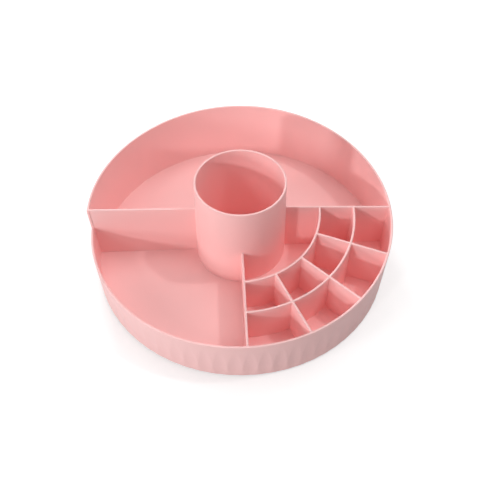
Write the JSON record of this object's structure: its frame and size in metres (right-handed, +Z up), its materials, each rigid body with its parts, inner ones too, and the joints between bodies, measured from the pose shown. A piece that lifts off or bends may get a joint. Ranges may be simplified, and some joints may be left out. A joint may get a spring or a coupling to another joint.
{
  "type": "makeup organizer",
  "caption": "Round rotating organizer tray with a tall central cup, spiral rim, open compartments and a rack of small cells, turning on a ball-bearing base.",
  "frame": {"origin": "on the turning axis, at the height of the surface the feet stand on", "axes": "+Z up along the turning axis; +X along the right divider; +Y towards the middle of the back compartment"},
  "size_m": [0.2498, 0.2496, 0.0884],
  "materials": {
    "pink_plastic": "satin",
    "base_plastic": "satin",
    "acetal": "natural white",
    "steel": "bright",
    "foot_rubber": "matt"
  },
  "bodies": {
    "base": {"base_plate": "base_plastic", "rubber_feet": "foot_rubber"},
    "ball_cage": {"ball_cage": "acetal", "bearing_balls": "steel"},
    "tray": {"outer_wall": "pink_plastic", "tray_floor": "pink_plastic", "rack_floor": "pink_plastic", "centre_cup": "pink_plastic", "left_divider": "pink_plastic", "right_divider": "pink_plastic", "front_divider": "pink_plastic", "inner_arc_wall": "pink_plastic", "outer_arc_wall": "pink_plastic", "mid_rib_1": "pink_plastic", "mid_rib_2": "pink_plastic", "mid_rib_3": "pink_plastic", "outer_rib_1": "pink_plastic", "outer_rib_2": "pink_plastic", "outer_rib_3": "pink_plastic", "pivot_bush": "acetal", "retaining_washer": "steel", "retaining_screw": "steel"}
  },
  "joints": [
    {"name": "tray_spin", "type": "hinge", "parent": "base", "child": "tray", "pos_m": [0, 0, 0.004], "axis": [0, 0, 1], "continuous": true},
    {"name": "cage_spin", "type": "hinge", "parent": "base", "child": "ball_cage", "pos_m": [0, 0, 0.0045], "axis": [0, 0, 1], "continuous": true}
  ],
  "couplings": [
    {"joint": "cage_spin", "follows": "tray_spin", "ratio": 0.5}
  ]
}
